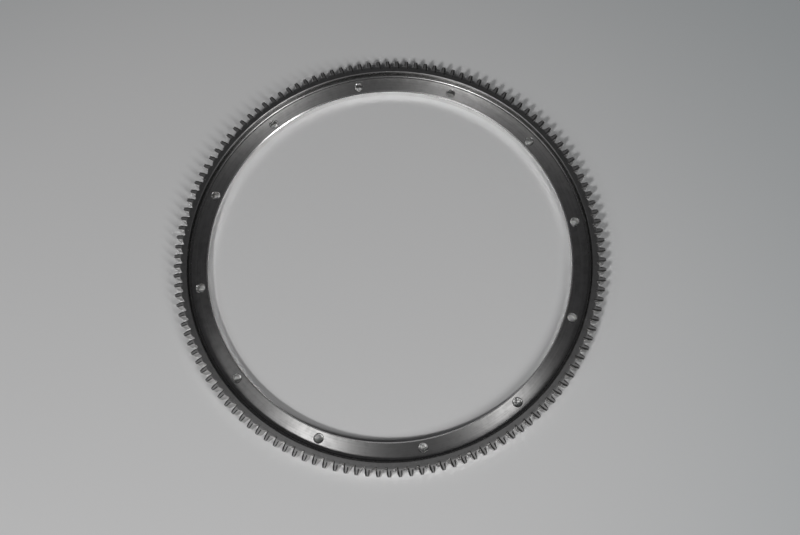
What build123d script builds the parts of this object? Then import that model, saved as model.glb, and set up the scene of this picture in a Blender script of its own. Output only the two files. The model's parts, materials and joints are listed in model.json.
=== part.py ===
"""Flywheel ring gear: one turned steel ring with starter teeth, an inner bolting flange and twelve holes."""
from build123d import *
import os
from math import acos, cos, pi, radians, sin, tan

os.makedirs("parts", exist_ok=True)

# Teeth, in millimetres and degrees
tooth_count = 132
tooth_module = 3.75
pressure_angle = 20
addendum_factor = 1.0
dedendum_factor = 1.25
root_corner_factor = 0.25
flank_backlash = 0.15
tip_edge = 1.2

# Ring section: a thin flange inside and a taller toothed rim outside
face_width = 20
flange_thickness = 10.5
rim_backing = 7.05
recess_fillet = 3.6
recess_edge = 0.7
bore_edge = 1.2

# Bolt holes in the flange
bolt_count = 12
bolt_hole_diameter = 10.5
bolt_to_recess = 12.55
bolt_to_bore = 9.1
bolt_hole_edge = 0.5

# Run-in cut into the top end of each tooth, on the side that the starter pinion enters past
entry_angle = 45
entry_land = 1.2
entry_knee_height = 1.6
entry_below_root = 2.0

# Radii that follow from the teeth and the walls
pitch_radius = tooth_count * tooth_module / 2
base_radius = pitch_radius * cos(radians(pressure_angle))
tip_radius = pitch_radius + addendum_factor * tooth_module
root_radius = pitch_radius - dedendum_factor * tooth_module
recess_radius = root_radius - rim_backing
bolt_circle_radius = recess_radius - bolt_to_recess
bore_radius = bolt_circle_radius - bolt_to_bore
clear_radius = tip_radius + tooth_module / 2
print(f"tip {tip_radius:.2f}, root {root_radius:.2f}, recess {recess_radius:.2f}, bore {bore_radius:.2f}")


def involute(angle):
    """Involute function of an angle in radians."""
    return tan(angle) - angle


def flank_point(radius, side):
    """Point of the flank on one side of the tooth gap that opens along +X."""
    at_pitch = pi / (2 * tooth_count) + flank_backlash / (2 * pitch_radius)
    half_gap = at_pitch - involute(radians(pressure_angle)) + involute(acos(base_radius / radius))
    return (radius * cos(side * half_gap), radius * sin(side * half_gap))


# Plan of the run-in cut: along one tooth, past its root, and back beside the next tooth
tooth_middle = -pitch_radius * sin(pi / tooth_count)
ramp_side = tooth_middle + entry_land
wall_side = flank_point(pitch_radius, 1)[1]
foot = Vector(root_radius - entry_below_root, wall_side)
knee = Vector(root_radius + entry_knee_height, ramp_side)
run_out_direction = (knee - foot).normalized()
run_out_normal = Vector(run_out_direction.Y, -run_out_direction.X)
entry_depth = (wall_side - ramp_side) * tan(radians(entry_angle))
slope_in = Vector(0, 0, cos(radians(entry_angle)))
ramp = Plane(
    origin=(0, ramp_side, face_width),
    x_dir=(1, 0, 0),
    z_dir=Vector(0, 1) * sin(radians(entry_angle)) + slope_in,
)
run_out = Plane(
    origin=(foot.X, foot.Y, face_width),
    x_dir=run_out_direction,
    z_dir=run_out_normal * sin(radians(entry_angle)) + slope_in,
)

# Everything that is cut away between two teeth
with BuildPart() as gap_cutter:
    # Run-in: two slopes that fall away from the top end, and an upright wall
    with BuildSketch(Plane.XY.offset(face_width)):
        with BuildLine():
            Polyline(foot, knee, (clear_radius, ramp_side), (clear_radius, wall_side), close=True)
        make_face()
    extrude(amount=-entry_depth)
    split(bisect_by=ramp, keep=Keep.TOP)
    split(bisect_by=run_out, keep=Keep.TOP)

    # Gap: two involute flanks with a flat root, its corners eased
    flank_radii = (root_radius + root_corner_factor * tooth_module, pitch_radius, clear_radius)
    root_half_width = flank_point(root_radius, 1)[1] / 2
    with BuildSketch():
        with BuildLine():
            left_flank = Spline(*[flank_point(radius, -1) for radius in flank_radii])
            right_flank = Spline(*[flank_point(radius, 1) for radius in flank_radii])
            Line(left_flank @ 1, right_flank @ 1)
            Polyline(
                left_flank @ 0,
                (root_radius, -root_half_width),
                (root_radius, root_half_width),
                right_flank @ 0,
            )
        make_face()
    extrude(amount=face_width)


def fillet_point(turn):
    """Point of the rounded corner between the flange and the recess wall, as a radius and a height."""
    return (
        recess_radius - recess_fillet + recess_fillet * sin(radians(turn)),
        flange_thickness + recess_fillet - recess_fillet * cos(radians(turn)),
    )


with BuildPart() as ring_gear:
    # Blank with one flat for each tooth tip, bevelled round the top
    with BuildSketch():
        RegularPolygon(radius=tip_radius, side_count=tooth_count, major_radius=False)
    extrude(amount=face_width)
    chamfer(ring_gear.faces().sort_by(Axis.Z)[-1].edges(), length=tip_edge)

    # Bore, flange face and recess wall, turned in one go
    with BuildSketch(Plane.XZ):
        with BuildLine():
            Polyline(
                (0, 0),
                (bore_radius, 0),
                (bore_radius, flange_thickness - bore_edge),
                (bore_radius + bore_edge, flange_thickness),
                *[fillet_point(turn) for turn in (0, 30, 60, 90)],
                (recess_radius, face_width - recess_edge),
                (recess_radius + recess_edge, face_width),
                (0, face_width),
                close=True,
            )
        make_face()
    revolve(axis=Axis.Z, mode=Mode.SUBTRACT)

    # Teeth
    with PolarLocations(0, tooth_count):
        add(gap_cutter.part, mode=Mode.SUBTRACT)

    # Bolt holes, bevelled where the bolt heads sit
    with Locations(Plane.XY.offset(flange_thickness)):
        with PolarLocations(bolt_circle_radius, bolt_count):
            Hole(radius=bolt_hole_diameter / 2)
    chamfer(ring_gear.edges(Select.LAST).group_by(Axis.Z)[-1], length=bolt_hole_edge)

ring_gear.part.label = "ring_gear"
export_step(ring_gear.part, "parts/ring_gear.step")
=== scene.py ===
"""Flywheel ring gear: the turned and toothed steel ring, its finishes, and the studio it is shown in."""

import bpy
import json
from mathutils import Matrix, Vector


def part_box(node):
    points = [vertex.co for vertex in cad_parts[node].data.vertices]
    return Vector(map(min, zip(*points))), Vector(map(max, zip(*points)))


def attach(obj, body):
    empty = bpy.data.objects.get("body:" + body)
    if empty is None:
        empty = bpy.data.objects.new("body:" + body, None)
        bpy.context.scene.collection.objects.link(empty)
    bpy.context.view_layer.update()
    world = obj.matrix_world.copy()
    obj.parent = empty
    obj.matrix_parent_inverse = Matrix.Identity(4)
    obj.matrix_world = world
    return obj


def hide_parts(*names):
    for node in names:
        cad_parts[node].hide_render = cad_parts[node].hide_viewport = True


bl_info = {
    "name": "Flywheel ring gear",
    "version": (1, 0, 0),
    "blender": (4, 5, 0),
    "location": "View3D > Sidebar > Ring gear",
    "description": "Models a starter ring gear with bevelled teeth and run-in cuts, and sets up its studio",
    "category": "Add Mesh",
}

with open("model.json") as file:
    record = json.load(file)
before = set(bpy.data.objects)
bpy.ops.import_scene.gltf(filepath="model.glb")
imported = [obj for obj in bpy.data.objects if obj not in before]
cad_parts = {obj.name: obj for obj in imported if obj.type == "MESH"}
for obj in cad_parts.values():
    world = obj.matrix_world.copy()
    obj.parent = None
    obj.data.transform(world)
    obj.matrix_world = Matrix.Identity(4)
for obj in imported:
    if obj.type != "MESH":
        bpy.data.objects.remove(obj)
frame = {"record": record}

import bpy
import json
from bpy.props import FloatProperty, FloatVectorProperty, IntProperty, PointerProperty
from math import acos, cos, pi, radians, sin, tan
from mathutils import Vector

MM = 0.001
node_low, node_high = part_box("ring_gear")
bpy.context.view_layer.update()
mounts = {mount["name"]: mount for mount in frame["record"]["mounts"]}
bore = mounts["pilot_bore"]["dims"]
bolts = mounts["flywheel_bolts"]["dims"]

# Heights above and below the pitch circle, in modules: of the teeth, and of the tools that cut past them
ADDENDUM = 1.0
DEDENDUM = 1.25
GAP_MOUTH = 1.4
RUN_IN_MOUTH = 1.6

# How finely round shapes are divided: facets, steps, and turns in degrees
FACETS_PER_TOOTH = 3
HOLE_FACETS = 48
FLANK_STEPS = 6
FILLET_TURNS = range(0, 91, 10)
ROOT_TURNS = range(0, 90, 18)

# How far a cutting tool stands out past the metal, and how near points are merged
CLEAR = 1 * MM
MERGE = MM / 1000

# Edges that turn further than these get a fine bevel, or stay sharp to the eye
BEVEL_ANGLE = radians(40)
SMOOTH_ANGLE = radians(50)

# Limits for parts of a face's normal: upwards on a level face and on an upright wall, and along the rim
LEVEL = 0.99
UPRIGHT = 0.3
SIDEWAYS = 0.25

# Sockets of the Mix node for colours
MIX_AMOUNT, MIX_FIRST, MIX_SECOND, MIX_RESULT = 0, 6, 7, 2

# Floor: its size, the middle of the pool of light painted on it, and how far from there the painted light
# starts and ends to fade
FLOOR_SIZE = 12
FLOOR_ROUGHNESS = 0.7
PAINTED_LIGHT_CENTRE = (-0.21, -0.06)
PAINTED_LIGHT_FADE = (0.3, 0.95)

# Lamps: their distance, and each lamp's elevation in degrees, width and height
LAMP_DISTANCE = 2.7
LEFT_LAMP = (49, 0.30, 0.30)
WINDOW = (42, 1.6, 0.9)
RIGHT_LAMP = (46, 0.30, 1.50)

# Camera: width of the sensor in millimetres
SENSOR_WIDTH = 36


# Sizes, finishes and studio values that a user would change

class RingGearSizes(bpy.types.PropertyGroup):
    """Sizes of the ring, its teeth and its holes."""
    tooth_count: IntProperty(
        name="Teeth", description="Number of teeth round the rim", default=132)
    tooth_module: FloatProperty(
        name="Module", description="Pitch diameter divided by the number of teeth",
        default=3.75 * MM, unit="LENGTH")
    pressure_angle: FloatProperty(
        name="Pressure angle", description="Slope of the flanks at the pitch circle",
        default=radians(20), subtype="ANGLE")
    backlash: FloatProperty(
        name="Backlash", description="How much wider a gap is than half the pitch",
        default=0.15 * MM, unit="LENGTH")
    root_round: FloatProperty(
        name="Root rounding", description="Radius of the corners at the bottom of a gap",
        default=0.95 * MM, unit="LENGTH")
    tip_edge: FloatProperty(
        name="Tip bevel", description="Bevel round the top of the tooth tips",
        default=1.2 * MM, unit="LENGTH")
    face_width: FloatProperty(
        name="Face width", description="Height of the toothed rim",
        default=node_high.z - node_low.z, unit="LENGTH")
    flange_thickness: FloatProperty(
        name="Flange thickness", description="Height of the bolting flange",
        default=10.5 * MM, unit="LENGTH")
    rim_backing: FloatProperty(
        name="Rim backing", description="Metal between the tooth roots and the recess",
        default=7.05 * MM, unit="LENGTH")
    recess_fillet: FloatProperty(
        name="Recess corner", description="Radius of the corner between flange and rim",
        default=3.6 * MM, unit="LENGTH")
    recess_edge: FloatProperty(
        name="Recess bevel", description="Bevel where the recess meets the top of the rim",
        default=0.7 * MM, unit="LENGTH")
    bore_radius: FloatProperty(
        name="Bore radius", description="Radius of the pilot bore",
        default=bore["r_mm"] * MM, unit="LENGTH")
    bore_edge: FloatProperty(
        name="Bore bevel", description="Bevel between the bore and the flange",
        default=1.2 * MM, unit="LENGTH")
    under_edge: FloatProperty(
        name="Underside edge", description="Bevel round the bore underneath",
        default=0.3 * MM, unit="LENGTH")
    bolt_circle: FloatProperty(
        name="Bolt circle radius", description="Radius of the circle of bolt holes",
        default=bolts["pcd_mm"] / 2 * MM, unit="LENGTH")
    bolt_count: IntProperty(
        name="Bolt holes", description="Number of bolt holes", default=bolts["count"])
    hole_radius: FloatProperty(
        name="Hole radius", description="Radius of a bolt hole",
        default=bolts["hole_r_mm"] * MM, unit="LENGTH")
    hole_edge: FloatProperty(
        name="Hole bevel", description="Bevel round the top of a bolt hole",
        default=0.5 * MM, unit="LENGTH")
    entry_land: FloatProperty(
        name="Run-in land", description="Flat kept between the middle of a tooth and its run-in cut",
        default=1.2 * MM, unit="LENGTH")
    entry_knee: FloatProperty(
        name="Run-in knee", description="How far outside the root circle the run-in cut turns",
        default=1.6 * MM, unit="LENGTH")
    entry_reach: FloatProperty(
        name="Run-in reach", description="How far inside the root circle the run-in cut ends",
        default=2.0 * MM, unit="LENGTH")
    entry_angle: FloatProperty(
        name="Run-in slope", description="Angle at which the run-in cut falls away",
        default=radians(45), subtype="ANGLE")
    flank_edge: FloatProperty(
        name="Flank bevel", description="Bevel on the flank across from the run-in cut",
        default=1.2 * MM, unit="LENGTH")
    edge_break: FloatProperty(
        name="Edge break", description="Fine bevel on every sharp edge",
        default=0.16 * MM, unit="LENGTH")


class RingGearFinish(bpy.types.PropertyGroup):
    """Colours, roughness and marks of the steel."""
    steel: FloatVectorProperty(
        name="Steel", description="Bare turned steel of the flange and the underside",
        default=(0.55, 0.545, 0.54), subtype="COLOR")
    corner_steel: FloatVectorProperty(
        name="Corner steel", description="Steel of the recess corner and wall, gap bottoms and tooth tips",
        default=(0.24, 0.238, 0.236), subtype="COLOR")
    bored_steel: FloatVectorProperty(
        name="Bored steel", description="Bright steel of the bore, its bevel, the hole mouths and nicks",
        default=(0.92, 0.915, 0.91), subtype="COLOR")
    drilled_steel: FloatVectorProperty(
        name="Drilled steel", description="Steel of the walls of the bolt holes",
        default=(0.48, 0.475, 0.47), subtype="COLOR")
    rim_steel: FloatVectorProperty(
        name="Rim steel", description="Dull steel on top of the rim",
        default=(0.34, 0.337, 0.335), subtype="COLOR")
    land_steel: FloatVectorProperty(
        name="Land steel", description="Steel on top of the teeth",
        default=(0.40, 0.397, 0.395), subtype="COLOR")
    hobbed_steel: FloatVectorProperty(
        name="Hobbed steel", description="Steel of the tooth flanks",
        default=(0.60, 0.595, 0.59), subtype="COLOR")
    # Near-black colour painted on the flank bevels and along the upper edges of the run-in cuts: painted
    # shade
    edge_painted_shade: FloatVectorProperty(
        name="Edge steel", description="Dark steel of the flank bevels and of the brows of the run-in cuts",
        default=(0.08, 0.079, 0.078), subtype="COLOR")
    milled_steel: FloatVectorProperty(
        name="Milled steel", description="Freshly milled run-in cuts",
        default=(0.66, 0.655, 0.65), subtype="COLOR")
    oil_shade: FloatProperty(
        name="Oil shade", description="How bright steel stays under the film of oil",
        default=0.65, min=0, max=1)
    turned_roughness: FloatProperty(
        name="Turned roughness", description="Roughness of the flange and the underside",
        default=0.455, min=0, max=1)
    corner_roughness: FloatProperty(
        name="Corner roughness", description="Roughness of the recess corner and wall, gap bottoms and tips",
        default=0.28, min=0, max=1)
    bored_roughness: FloatProperty(
        name="Bored roughness", description="Roughness of the bore, its bevel and the hole mouths",
        default=0.23, min=0, max=1)
    drilled_roughness: FloatProperty(
        name="Drilled roughness", description="Roughness of the walls of the bolt holes",
        default=0.14, min=0, max=1)
    rim_roughness: FloatProperty(
        name="Rim roughness", description="Roughness of the top of the rim",
        default=0.38, min=0, max=1)
    land_roughness: FloatProperty(
        name="Land roughness", description="Roughness of the tops of the teeth and of their flank bevels",
        default=0.5, min=0, max=1)
    toothed_roughness: FloatProperty(
        name="Tooth roughness", description="Roughness of the tooth flanks",
        default=0.32, min=0, max=1)
    milled_roughness: FloatProperty(
        name="Milled roughness", description="Roughness of the run-in cuts",
        default=0.58, min=0, max=1)
    hobbed_metallic: FloatProperty(
        name="Hobbed mirror share",
        description="How much of a flank's light is mirrored and not scattered",
        default=1.0, min=0, max=1)
    milled_metallic: FloatProperty(
        name="Milled mirror share",
        description="How much of a run-in cut's light is mirrored and not scattered",
        default=0.95, min=0, max=1)
    # Height of the band of painted shade along the upper edge of a run-in cut
    painted_shade_height: FloatProperty(
        name="Brow height",
        description="Height where a run-in cut passes into the dark brow along its upper edge",
        default=18.9 * MM, unit="LENGTH")
    grain: FloatProperty(
        name="Lathe grain", description="How far the flange's turning marks stretch a highlight",
        default=0.89, min=0, max=1)
    feed: FloatProperty(
        name="Lathe feed", description="Distance between turning marks",
        default=0.35 * MM, unit="LENGTH")


class RingGearStudio(bpy.types.PropertyGroup):
    """Camera, lamps and floor."""
    lens: FloatProperty(
        name="Lens", description="Focal length on a sensor 36 mm wide", default=33.08)
    camera_place: FloatVectorProperty(
        name="Camera place", description="Where the camera stands",
        default=(-6.98 * MM, -248.54 * MM, 837.67 * MM), subtype="TRANSLATION")
    camera_turn: FloatVectorProperty(
        name="Camera turn", description="Tilt, roll and heading of the camera",
        default=(radians(15.58), radians(1.59), radians(-10)), subtype="EULER")
    # The two floor colours paint a pool of light: the floor colour where it is brightest, the far floor
    # colour as painted shade away from there
    floor_colour: FloatVectorProperty(
        name="Floor", description="Colour of the floor where it is brightest",
        default=(0.625, 0.625, 0.625), subtype="COLOR")
    far_floor_colour: FloatVectorProperty(
        name="Far floor", description="Colour of the floor away from there",
        default=(0.46, 0.484, 0.494), subtype="COLOR")
    room_colour: FloatVectorProperty(
        name="Room", description="Light from the rest of the room",
        default=(0.045, 0.045, 0.047), subtype="COLOR")
    left_lamp: FloatProperty(
        name="Left lamp", description="Power of the soft lamp at the front left", default=27, unit="POWER")
    left_heading: FloatProperty(
        name="Left heading", description="Direction of the left lamp round the axis",
        default=radians(226), subtype="ANGLE")
    window: FloatProperty(
        name="Window", description="Power of the wide soft light at the left", default=7, unit="POWER")
    window_heading: FloatProperty(
        name="Window heading", description="Direction of the wide soft light round the axis",
        default=radians(200), subtype="ANGLE")
    right_lamp: FloatProperty(
        name="Right lamp", description="Power of the tall soft lamp at the front right", default=24,
        unit="POWER")
    right_heading: FloatProperty(
        name="Right heading", description="Direction of the right lamp round the axis",
        default=radians(308.5), subtype="ANGLE")


# Radii and points of the teeth

def pitch_radius(size):
    """Radius of the pitch circle."""
    return size.tooth_count * size.tooth_module / 2


def tip_radius(size):
    """Radius of the tooth tips."""
    return pitch_radius(size) + ADDENDUM * size.tooth_module


def root_radius(size):
    """Radius of the bottom of the gaps."""
    return pitch_radius(size) - DEDENDUM * size.tooth_module


def gap_angle(size, radius):
    """Half of the angle that a tooth gap takes up at a radius, between involute flanks."""
    def involute(angle):
        return tan(angle) - angle
    pitch = pitch_radius(size)
    base = pitch * cos(size.pressure_angle)
    at_pitch = pi / (2 * size.tooth_count) + size.backlash / (2 * pitch)
    return at_pitch - involute(size.pressure_angle) + involute(acos(base / radius))


def gap_side(size):
    """How far a flank stands to the side of the middle of its gap, at the pitch circle."""
    pitch = pitch_radius(size)
    return pitch * sin(gap_angle(size, pitch))


def around(radius, angle, height=0.0):
    """Point at a radius, an angle round the axis and a height."""
    return Vector((radius * cos(angle), radius * sin(angle), height))


# Modelling helpers

def mesh_object(name):
    """New mesh object at the origin, open in edit mode with one point there."""
    if bpy.context.object and bpy.context.object.mode != "OBJECT":
        bpy.ops.object.mode_set(mode="OBJECT")
    bpy.ops.object.select_all(action="DESELECT")
    bpy.ops.mesh.primitive_plane_add(size=MM)
    bpy.context.object.name = name
    bpy.ops.object.mode_set(mode="EDIT")
    bpy.ops.mesh.select_mode(type="VERT")
    bpy.ops.mesh.merge(type="CENTER")
    return bpy.context.object


def draw_face(points):
    """Draws a closed outline from the selected point at the origin and fills it."""
    bpy.ops.transform.translate(value=points[0])
    for start, end in zip(points, points[1:]):
        bpy.ops.mesh.extrude_region_move(TRANSFORM_OT_translate={"value": end - start})
    mesh = bpy.context.object.data
    bpy.ops.mesh.select_all(action="DESELECT")
    bpy.ops.object.mode_set(mode="OBJECT")
    for place in (0, len(points) - 1):
        mesh.vertices[place].select = True
    bpy.ops.object.mode_set(mode="EDIT")
    bpy.ops.mesh.edge_face_add()
    bpy.ops.mesh.select_all(action="SELECT")
    bpy.ops.mesh.edge_face_add()


def turn_section(section, facets, centre=0.0):
    """Turns a section of radii and heights about an upright axis that stands at a centre on the X axis."""
    draw_face([Vector((centre + radius, 0, height)) for radius, height in section])
    bpy.ops.mesh.delete(type="ONLY_FACE")
    bpy.ops.mesh.select_all(action="SELECT")
    bpy.ops.mesh.spin(steps=facets, angle=2 * pi, center=(centre, 0, 0), axis=(0, 0, 1))


def draw_prism(outline, start, rise):
    """Draws an outline at a start height and stretches it up, or down where the rise is negative."""
    draw_face([point + Vector((0, 0, start)) for point in outline])
    bpy.ops.mesh.extrude_region_move(TRANSFORM_OT_translate={"value": (0, 0, rise)})


def slice_off(place, normal):
    """Cuts away what lies behind a plane and closes the open mesh there."""
    bpy.ops.mesh.select_all(action="SELECT")
    bpy.ops.mesh.bisect(plane_co=place, plane_no=normal, use_fill=True, clear_inner=True)


def merge_points():
    """Merges the points of the open mesh that lie on each other, and leaves all of it selected."""
    bpy.ops.mesh.select_all(action="SELECT")
    bpy.ops.mesh.remove_doubles(threshold=MERGE)


def copy_round(count):
    """Copies the open mesh evenly round the axis."""
    bpy.ops.mesh.select_all(action="SELECT")
    bpy.ops.mesh.spin(
        steps=count, dupli=True, angle=2 * pi, center=(0, 0, 0), axis=(0, 0, 1), use_auto_merge=False)


def finish_solid():
    """Merges points, turns every face of the open mesh outwards and leaves edit mode."""
    merge_points()
    bpy.ops.mesh.normals_make_consistent(inside=False)
    bpy.ops.object.mode_set(mode="OBJECT")


def cut(piece, tool):
    """Cuts a tool's shape out of a piece and deletes the tool."""
    bpy.ops.object.select_all(action="DESELECT")
    bpy.context.view_layer.objects.active = piece
    piece.select_set(True)
    bpy.ops.object.modifier_add(type="BOOLEAN")
    modifier = piece.modifiers[-1]
    modifier.operation = "DIFFERENCE"
    modifier.solver = "EXACT"
    modifier.object = tool
    bpy.ops.object.modifier_apply(modifier=modifier.name)
    bpy.data.objects.remove(tool)


# The blank of the ring, and the tools that cut its teeth and holes

def ring_blank(size):
    """Turned blank: bore, flange, recess and rim as one section, spun round the axis."""
    tip = tip_radius(size)
    root = root_radius(size)
    recess = root - size.rim_backing
    corner = Vector((recess - size.recess_fillet, 0, size.flange_thickness + size.recess_fillet))
    section = [
        (size.bore_radius + size.under_edge, 0),
        (size.bore_radius, size.under_edge),
        (size.bore_radius, size.flange_thickness - size.bore_edge),
        (size.bore_radius + size.bore_edge, size.flange_thickness),
    ]
    for turn in FILLET_TURNS:
        section.append((
            corner.x + size.recess_fillet * sin(radians(turn)),
            corner.z - size.recess_fillet * cos(radians(turn)),
        ))
    section += [
        (recess, size.face_width - size.recess_edge),
        (recess + size.recess_edge, size.face_width),
        (root, size.face_width),
        (tip - size.tip_edge, size.face_width),
        (tip, size.face_width - size.tip_edge),
        (tip, 0),
    ]
    blank = mesh_object("ring_gear_steel")
    turn_section(section, size.tooth_count * FACETS_PER_TOOTH)
    finish_solid()
    return blank


def gap_tool(size):
    """One gap between two teeth, with involute flanks and a rounded root, copied round the rim."""
    mouth = pitch_radius(size) + GAP_MOUTH * size.tooth_module
    form = root_radius(size) + size.root_round
    radii = [form + (mouth - form) * step / FLANK_STEPS for step in range(FLANK_STEPS + 1)]
    flank = [around(radius, gap_angle(size, radius)) for radius in radii]
    reach = flank[0].y
    root_corner = [
        Vector((
            form - size.root_round * cos(radians(turn)),
            reach - size.root_round * (1 - sin(radians(turn))),
            0,
        ))
        for turn in ROOT_TURNS
    ]
    half = root_corner + flank
    tool = mesh_object("gap_tool")
    draw_prism(
        half + [Vector((point.x, -point.y, 0)) for point in reversed(half)],
        start=-CLEAR, rise=size.face_width + 2 * CLEAR)
    copy_round(size.tooth_count)
    finish_solid()
    return tool


def run_in_tool(size):
    """Run-in cut on a tooth's top end: a slope between two upright walls, copied round the rim."""
    far = pitch_radius(size) + RUN_IN_MOUTH * size.tooth_module
    ramp_side = -pitch_radius(size) * sin(pi / size.tooth_count) + size.entry_land
    wall_side = gap_side(size)
    depth = (wall_side - ramp_side) * tan(size.entry_angle)
    outline = [
        Vector((root_radius(size) - size.entry_reach, wall_side, 0)),
        Vector((root_radius(size) + size.entry_knee, ramp_side, 0)),
        Vector((far, ramp_side, 0)),
        Vector((far, wall_side, 0)),
    ]
    tool = mesh_object("run_in_tool")
    draw_prism(outline, start=size.face_width + CLEAR, rise=-depth - 2 * CLEAR)
    slice_off((0, ramp_side, size.face_width), (0, sin(size.entry_angle), cos(size.entry_angle)))
    copy_round(size.tooth_count)
    finish_solid()
    return tool


def flank_edge_tool(size):
    """Bevel on a tooth's plain flank, from the tip to the foot of the run-in cut, copied round the rim."""
    tip = tip_radius(size)
    inset = size.flank_edge / 3
    past_mm = 1.5
    below = 2 * MM
    start = Vector((root_radius(size) - size.entry_reach, gap_side(size) - inset, 0))
    end = around(tip, gap_angle(size, tip))
    along = (end - start).normalized()
    across = Vector((-along.y, along.x, 0))
    outline = [
        start - past_mm * MM * across,
        end + (along - across) * past_mm * MM,
        end + along * past_mm * MM + across * (size.flank_edge + CLEAR),
        start + across * (size.flank_edge + CLEAR),
    ]
    tool = mesh_object("flank_edge_tool")
    draw_prism(outline, start=size.face_width + CLEAR, rise=-size.flank_edge - CLEAR - below)
    slice_off(
        end + Vector((0, 0, size.face_width - size.flank_edge)),
        Vector((0, 0, cos(size.entry_angle))) - across * sin(size.entry_angle))
    copy_round(size.tooth_count)
    finish_solid()
    return tool


def hole_tool(size):
    """One bolt hole with its bevelled mouth, copied round the bolt circle."""
    section = [
        (0, -CLEAR),
        (size.hole_radius, -CLEAR),
        (size.hole_radius, size.flange_thickness - size.hole_edge),
        (size.hole_radius + size.hole_edge + CLEAR, size.flange_thickness + CLEAR),
        (0, size.flange_thickness + CLEAR),
    ]
    tool = mesh_object("hole_tool")
    turn_section(section, HOLE_FACETS, size.bolt_circle)
    merge_points()
    copy_round(size.bolt_count)
    finish_solid()
    return tool


def soften(piece, size):
    """Breaks the sharp edges a little and smooths the round faces."""
    bpy.context.view_layer.objects.active = piece
    piece.select_set(True)
    bpy.ops.object.modifier_add(type="BEVEL")
    bevel = piece.modifiers[-1]
    bevel.width = size.edge_break
    bevel.segments = 1
    bevel.limit_method = "ANGLE"
    bevel.angle_limit = BEVEL_ANGLE
    bpy.ops.object.modifier_apply(modifier=bevel.name)
    bpy.ops.object.shade_smooth_by_angle(angle=SMOOTH_ANGLE)
    bpy.ops.object.modifier_add(type="WEIGHTED_NORMAL")
    weighted = piece.modifiers[-1]
    weighted.keep_sharp = True
    bpy.ops.object.modifier_apply(modifier=weighted.name)


# Shader maths

class Wire:
    """A shader value; arithmetic on it adds the Math nodes."""

    def __init__(self, finish, socket):
        self.finish = finish
        self.socket = socket

    def maths(self, operation, *values):
        """Adds a Math node."""
        return self.finish.node("ShaderNodeMath", {"operation": operation}, dict(enumerate(values)))

    def __add__(self, other):
        return self.maths("ADD", self, other)

    __radd__ = __add__

    def __sub__(self, other):
        return self.maths("SUBTRACT", self, other)

    def __rsub__(self, other):
        return self.maths("SUBTRACT", other, self)

    def __mul__(self, other):
        return self.maths("MULTIPLY", self, other)

    __rmul__ = __mul__

    def __truediv__(self, other):
        return self.maths("DIVIDE", self, other)

    def __rtruediv__(self, other):
        return self.maths("DIVIDE", other, self)

    def __pow__(self, other):
        return self.maths("POWER", self, other)

    def __rpow__(self, other):
        return self.maths("POWER", other, self)


class Finish:
    """A finish: one material, its nodes and its principled shader."""

    def __init__(self, name, **constants):
        self.material = bpy.data.materials.new(name)
        self.material.use_nodes = True
        self.tree = self.material.node_tree
        self.shader = self.tree.nodes["Principled BSDF"]
        for socket, value in constants.items():
            self.shader.inputs[socket.replace("_", " ")].default_value = value

    def node(self, kind, settings, inputs, output=0):
        """Adds a node, with its settings first and then the values or wires of its sockets."""
        made = self.tree.nodes.new(kind)
        for setting, value in settings.items():
            setattr(made, setting, value)
        for socket, value in inputs.items():
            self.connect(made.inputs[socket], value)
        return Wire(self, made.outputs[output])

    def connect(self, socket, value):
        """Gives a socket a wire or a value."""
        if isinstance(value, Wire):
            self.tree.links.new(value.socket, socket)
        else:
            socket.default_value = value

    def shade(self, socket, value):
        """Feeds a socket of the shader."""
        self.connect(self.shader.inputs[socket], value)

    def noise(self, place, scale, detail=2.0, roughness=0.5):
        """Noise around a half, from 0 to 1."""
        return self.node(
            "ShaderNodeTexNoise", {"noise_dimensions": "3D"},
            {"Vector": place, "Scale": scale, "Detail": detail, "Roughness": roughness})

    def streaks(self, x, y, z, detail=2.0):
        """Noise that each direction stretches by its own scale."""
        return self.noise(self.node("ShaderNodeCombineXYZ", {}, {"X": x, "Y": y, "Z": z}), 1.0, detail=detail)

    def span(self, value, low, high):
        """Maps a stretch of a value onto 0 to 1, smoothly and with its ends held."""
        return self.node(
            "ShaderNodeMapRange", {"interpolation_type": "SMOOTHSTEP"},
            {"Value": value, "From Min": low, "From Max": high})

    def blend(self, amount, first, second):
        """Mixes two colours by an amount from 0 to 1."""
        return self.node(
            "ShaderNodeMix", {"data_type": "RGBA"},
            {MIX_AMOUNT: amount, MIX_FIRST: first, MIX_SECOND: second}, output=MIX_RESULT)

    def bump(self, height, strength, distance):
        """Raises and sinks the surface by a height."""
        self.shade("Normal", self.node(
            "ShaderNodeBump", {}, {"Strength": strength, "Distance": distance, "Height": height}))

    def place(self):
        """Object coordinates, and the same as three numbers."""
        coordinates = self.node("ShaderNodeTexCoord", {}, {}, output="Object")
        apart = self.node("ShaderNodeSeparateXYZ", {}, {"Vector": coordinates}).socket.node
        return coordinates, *(Wire(self, apart.outputs[axis]) for axis in "XYZ")


def swing(noise, amount):
    """Turns noise around a half into noise around nothing, of an amount."""
    return (noise - 0.5) * amount


def opaque(colour):
    """A colour with full alpha, as a colour socket takes it."""
    return (*colour, 1.0)


def oiled(colour, look):
    """A colour under the film of oil."""
    return opaque([channel * look.oil_shade for channel in colour])


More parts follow.
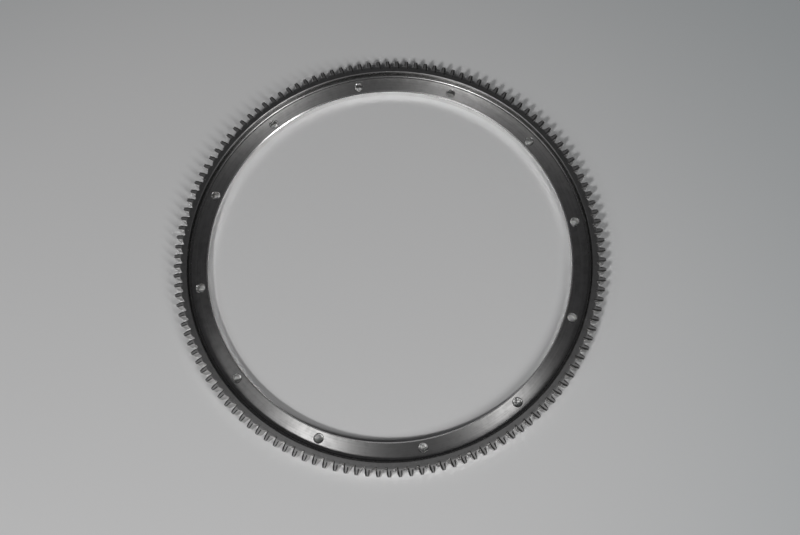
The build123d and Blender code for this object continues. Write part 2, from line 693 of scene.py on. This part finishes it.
def turned_steel(name, look, colour, roughness, grain=0.0, relief=0.04, oil=0.4, nicked=0.0):
    """Lathe-turned steel: rings of fine marks, faint chatter, a patchy film of oil and perhaps nicks."""
    wall_share = 0.6
    patch_scale, nick_scale = 90.0, 420.0
    band_shade, mark_shade = 1.6, 0.5
    band_rough, film_rough, chatter_rough, nick_rough = 0.10, 0.06, 0.05, 0.3
    mark_height, band_height, chatter_height, height = 0.6, 0.5, 0.25, 0.03 * MM

    finish = Finish(name, Metallic=1.0, Anisotropic=grain, Anisotropic_Rotation=0.25)
    coordinates, x, y, z = finish.place()
    radius = (x * x + y * y) ** 0.5
    ahead, aside = x / radius, y / radius
    travel = radius + z * wall_share

    def rings(feeds, change, detail=2.0):
        """Noise in rings that are some feeds of the lathe apart and change on the way round."""
        return finish.streaks(travel / (feeds * look.feed), ahead * change, aside * change, detail)

    marks = rings(feeds=1, change=2.5, detail=3.0)
    bands = rings(feeds=6, change=1.5)
    chatter = rings(feeds=3, change=55)
    film = finish.span(finish.noise(coordinates, patch_scale, detail=4.0, roughness=0.6), low=0.35, high=0.7)
    dulled = finish.span(film * oil + swing(bands, band_shade) + swing(marks, mark_shade), low=-0.2, high=1.2)
    nicks = finish.span(finish.noise(coordinates, nick_scale), low=0.76, high=0.79) * nicked
    worn = finish.blend(dulled, opaque(colour), oiled(colour, look))
    finish.shade("Base Color", finish.blend(nicks, worn, opaque(look.bored_steel)))
    finish.shade("Roughness", roughness + swing(bands, band_rough) + swing(film, oil) * film_rough
                 + swing(chatter, chatter_rough) + nicks * nick_rough)
    finish.bump(
        marks * mark_height + bands * band_height + chatter * chatter_height - nicks,
        strength=relief, distance=height)
    return finish.material


def hobbed_steel(look):
    """Hobbed flanks: level cutter marks, one above the other, with patches of oil."""
    level_scale, upward_scale, patch_scale = 120, 1400, 160.0
    finish = Finish("hobbed_steel", Metallic=look.hobbed_metallic)
    coordinates, x, y, z = finish.place()
    marks = finish.streaks(x * level_scale, y * level_scale, z * upward_scale)
    patches = finish.noise(coordinates, patch_scale, detail=4.0, roughness=0.6)
    film = finish.span(patches, low=0.3, high=0.7)
    finish.shade("Base Color", finish.blend(film, opaque(look.hobbed_steel), oiled(look.hobbed_steel, look)))
    finish.shade("Roughness", look.toothed_roughness + swing(patches, 0.2))
    finish.bump(marks, strength=0.3, distance=0.03 * MM)
    return finish.material


def milled_steel(look):
    """Milled run-in cuts: pale steel, straight marks down the slope, and a dark band of painted shade along
    its upper edge.
    """
    outward_scale, along_scale, patch_scale = 2500, 40, 220.0
    painted_shade_fade = 0.4 * MM
    finish = Finish("milled_steel", Metallic=look.milled_metallic)
    coordinates, x, y, z = finish.place()
    radius = (x * x + y * y) ** 0.5
    marks = finish.streaks(radius * outward_scale, x * along_scale, y * along_scale)
    film = finish.span(finish.noise(coordinates, patch_scale, detail=3.0), low=0.4, high=0.75)
    worn = finish.blend(film, opaque(look.milled_steel), oiled(look.milled_steel, look))
    # Painted shade: a dark band along the upper edge of the cut, mixed in from the near-black edge colour
    painted_shade_band = finish.span(z, low=look.painted_shade_height - painted_shade_fade, high=look.painted_shade_height + painted_shade_fade)
    finish.shade("Base Color", finish.blend(painted_shade_band, worn, opaque(look.edge_painted_shade)))
    finish.shade("Roughness", look.milled_roughness + swing(marks, 0.2))
    finish.bump(marks, strength=0.25, distance=0.02 * MM)
    return finish.material


def give_finish(piece, material, wanted):
    """Gives a material to the faces for which wanted(centre, normal) is true."""
    piece.data.materials.append(material)
    bpy.ops.object.mode_set(mode="EDIT")
    bpy.ops.mesh.select_mode(type="FACE")
    bpy.ops.mesh.select_all(action="DESELECT")
    bpy.ops.object.mode_set(mode="OBJECT")
    for face in piece.data.polygons:
        face.select = wanted(face.center, face.normal)
    bpy.ops.object.mode_set(mode="EDIT")
    piece.active_material_index = len(piece.data.materials) - 1
    bpy.ops.object.material_slot_assign()
    bpy.ops.object.mode_set(mode="OBJECT")


def sideways(centre, normal):
    """How far a face looks along the rim: 0 on turned faces, 1 or -1 where it looks straight round."""
    out = Vector((centre.x, centre.y, 0)).normalized()
    return normal.x * -out.y + normal.y * out.x


def finish_ring(ring, size, look):
    """Gives each face the finish of the tool that cut it; a later finish goes over an earlier one."""
    root = root_radius(size)
    bore_end = size.bore_radius + size.bore_edge
    holes_end = size.bolt_circle + 1.5 * size.hole_radius
    above_flange = size.face_width / 2 + MM
    rim_start = size.face_width - size.recess_edge
    run_in_end = root - 2.5 * MM

    def anywhere(centre, normal):
        return True

    def at_hole(centre):
        return bore_end < centre.xy.length < holes_end

    def in_hole(centre, normal):
        return at_hole(centre) and abs(normal.z) < UPRIGHT

    def in_bore_or_hole_mouth(centre, normal):
        return centre.xy.length < bore_end or (at_hole(centre) and UPRIGHT < normal.z < LEVEL)

    def on_flange(centre, normal):
        return centre.z < above_flange and abs(normal.z) > LEVEL

    def on_rim(centre, normal):
        return centre.z > rim_start

    def on_land(centre, normal):
        return on_rim(centre, normal) and centre.xy.length > root

    def on_tooth(centre, normal):
        return centre.xy.length > run_in_end and abs(sideways(centre, normal)) > SIDEWAYS

    def on_slope(centre, normal):
        return on_tooth(centre, normal) and normal.z > UPRIGHT

    def on_flank_edge(centre, normal):
        return on_slope(centre, normal) and sideways(centre, normal) < 0

    def on_run_in(centre, normal):
        return on_slope(centre, normal) and sideways(centre, normal) > 0

    for material, wanted in (
        (turned_steel("corner_steel", look, look.corner_steel, look.corner_roughness), anywhere),
        (turned_steel("bored_steel", look, look.bored_steel, look.bored_roughness,
                      grain=0.3, relief=0.02, oil=0.1), in_bore_or_hole_mouth),
        (turned_steel("drilled_steel", look, look.drilled_steel, look.drilled_roughness, oil=0.3), in_hole),
        (turned_steel("faced_steel", look, look.steel, look.turned_roughness,
                      grain=look.grain, relief=0.15, oil=0.6), on_flange),
        (turned_steel("rim_steel", look, look.rim_steel, look.rim_roughness,
                      grain=0.2, relief=0.12, oil=1.0, nicked=1.0), on_rim),
        (turned_steel("land_steel", look, look.land_steel, look.land_roughness,
                      grain=0.2, relief=0.12, oil=0.8, nicked=1.0), on_land),
        (hobbed_steel(look), on_tooth),
        # The flank bevels are painted near black: painted shade
        (turned_steel("edge_painted_shade", look, look.edge_painted_shade, look.land_roughness), on_flank_edge),
        (milled_steel(look), on_run_in),
    ):
        give_finish(ring, material, wanted)


# Studio

def soft_lamp(name, power, heading, shape):
    """Rectangular soft lamp that looks at the middle of the ring."""
    elevation, width, height = shape
    place = around(
        LAMP_DISTANCE * cos(radians(elevation)), heading, LAMP_DISTANCE * sin(radians(elevation)))
    bpy.ops.object.light_add(type="AREA", location=place)
    lamp = bpy.context.object
    lamp.name = name
    lamp.rotation_euler = (-place).to_track_quat("-Z", "Y").to_euler()
    lamp.data.shape = "RECTANGLE"
    lamp.data.size = width
    lamp.data.size_y = height
    lamp.data.energy = power


def floor_finish(studio):
    """Pale floor with a painted pool of light: brightest at one place, and a little darker and cooler away
    from there as painted shade.
    """
    finish = Finish("studio_floor", Roughness=FLOOR_ROUGHNESS)
    x, y = finish.place()[1:3]
    away = ((x - PAINTED_LIGHT_CENTRE[0]) ** 2.0 + (y - PAINTED_LIGHT_CENTRE[1]) ** 2.0) ** 0.5
    finish.shade("Base Color", finish.blend(
        finish.span(away, *PAINTED_LIGHT_FADE), opaque(studio.floor_colour), opaque(studio.far_floor_colour)))
    return finish.material


# Operators

class RINGGEAR_OT_add_ring(bpy.types.Operator):
    """Model the toothed ring and give it its steel finishes"""
    bl_idname = "ring_gear.add_ring"
    bl_label = "Add ring gear"
    bl_options = {"REGISTER", "UNDO"}

    def execute(self, context):
        size = context.scene.ring_gear_sizes
        ring = ring_blank(size)
        for tool in (gap_tool, run_in_tool, flank_edge_tool, hole_tool):
            cut(ring, tool(size))
        soften(ring, size)
        finish_ring(ring, size, context.scene.ring_gear_finish)
        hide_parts("ring_gear")
        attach(ring, "root")
        return {"FINISHED"}


class RINGGEAR_OT_add_studio(bpy.types.Operator):
    """Add the pale floor, the soft lamps and the camera"""
    bl_idname = "ring_gear.add_studio"
    bl_label = "Add studio"
    bl_options = {"REGISTER", "UNDO"}

    def execute(self, context):
        studio = context.scene.ring_gear_studio
        bpy.ops.object.select_all(action="DESELECT")
        bpy.ops.mesh.primitive_plane_add(size=FLOOR_SIZE)
        floor = context.object
        floor.name = "studio_floor"
        floor.data.materials.append(floor_finish(studio))

        soft_lamp("left_lamp", studio.left_lamp, studio.left_heading, LEFT_LAMP)
        soft_lamp("window", studio.window, studio.window_heading, WINDOW)
        soft_lamp("right_lamp", studio.right_lamp, studio.right_heading, RIGHT_LAMP)

        world = bpy.data.worlds.new("studio_room")
        world.use_nodes = True
        world.node_tree.nodes["Background"].inputs["Color"].default_value = opaque(studio.room_colour)
        context.scene.world = world

        bpy.ops.object.camera_add(location=studio.camera_place, rotation=studio.camera_turn)
        camera = context.object
        camera.name = "photo_camera"
        camera.data.lens = studio.lens
        camera.data.sensor_width = SENSOR_WIDTH
        context.scene.camera = camera
        context.scene.view_settings.view_transform = "Standard"
        # Keeps the light strip that the polished bore wall throws onto the floor
        context.scene.cycles.blur_glossy = 0.0
        return {"FINISHED"}


class RINGGEAR_PT_sidebar(bpy.types.Panel):
    """Ring gear tools in the sidebar"""
    bl_label = "Ring gear"
    bl_idname = "RINGGEAR_PT_sidebar"
    bl_space_type = "VIEW_3D"
    bl_region_type = "UI"
    bl_category = "Ring gear"

    def draw(self, context):
        for group, operator in (
            (context.scene.ring_gear_sizes, "ring_gear.add_ring"),
            (context.scene.ring_gear_finish, None),
            (context.scene.ring_gear_studio, "ring_gear.add_studio"),
        ):
            box = self.layout.box()
            for name in group.__annotations__:
                box.prop(group, name)
            if operator:
                box.operator(operator)


CLASSES = (
    RingGearSizes,
    RingGearFinish,
    RingGearStudio,
    RINGGEAR_OT_add_ring,
    RINGGEAR_OT_add_studio,
    RINGGEAR_PT_sidebar,
)


def register():
    for kind in CLASSES:
        bpy.utils.register_class(kind)
    bpy.types.Scene.ring_gear_sizes = PointerProperty(type=RingGearSizes)
    bpy.types.Scene.ring_gear_finish = PointerProperty(type=RingGearFinish)
    bpy.types.Scene.ring_gear_studio = PointerProperty(type=RingGearStudio)


def unregister():
    del bpy.types.Scene.ring_gear_sizes
    del bpy.types.Scene.ring_gear_finish
    del bpy.types.Scene.ring_gear_studio
    for kind in reversed(CLASSES):
        bpy.utils.unregister_class(kind)


def main():
    register()
    bpy.ops.ring_gear.add_ring()
    bpy.ops.ring_gear.add_studio()


if __name__ == "__main__":
    main()
